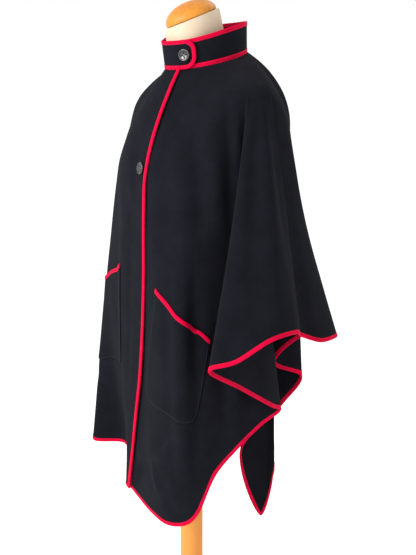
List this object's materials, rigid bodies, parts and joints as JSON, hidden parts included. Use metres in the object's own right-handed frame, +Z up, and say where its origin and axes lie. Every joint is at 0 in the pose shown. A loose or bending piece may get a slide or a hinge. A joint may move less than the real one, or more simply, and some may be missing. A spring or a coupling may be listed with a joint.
{
  "type": "wool cape on a dress form",
  "caption": "Hip-length wool cape with a stand collar, button tab, slanted patch pockets and bound edges, worn by a limbless dress form on a pole and round foot.",
  "frame": {"origin": "centre of the underside of the round foot, on the pole's axis", "axes": "+Z up along the pole, -Y is the front that the cape's opening faces, +X is the wearer's left"},
  "size_m": [0.6629, 0.37, 1.5486],
  "materials": {
    "wool": "matte felted wool, blue-black, short nap",
    "tape": "matte woven fold-over tape, pinkish red",
    "button": "satin dark grey-black, four holes",
    "jersey": "matte cream jersey",
    "cap_wood": "satin varnished, orange-brown",
    "pole_wood": "satin varnished light beech"
  },
  "bodies": {
    "root": {"cape_front_left": "wool", "cape_back": "wool", "cape_front_right": "wool", "hem_binding_front_left": "tape", "hem_binding_back": "tape", "hem_binding_front_right": "tape", "edge_binding_left": "tape", "edge_binding_right": "tape", "collar": "wool", "collar_binding": "tape", "neck_seam_binding": "tape", "pocket_left": "wool", "pocket_right": "wool", "pocket_binding_left": "tape", "pocket_binding_right": "tape", "collar_button": "button", "bust_button": "button", "form_torso": "jersey", "neck_cap": "cap_wood", "pole": "pole_wood", "foot": "pole_wood"}
  },
  "joints": []
}
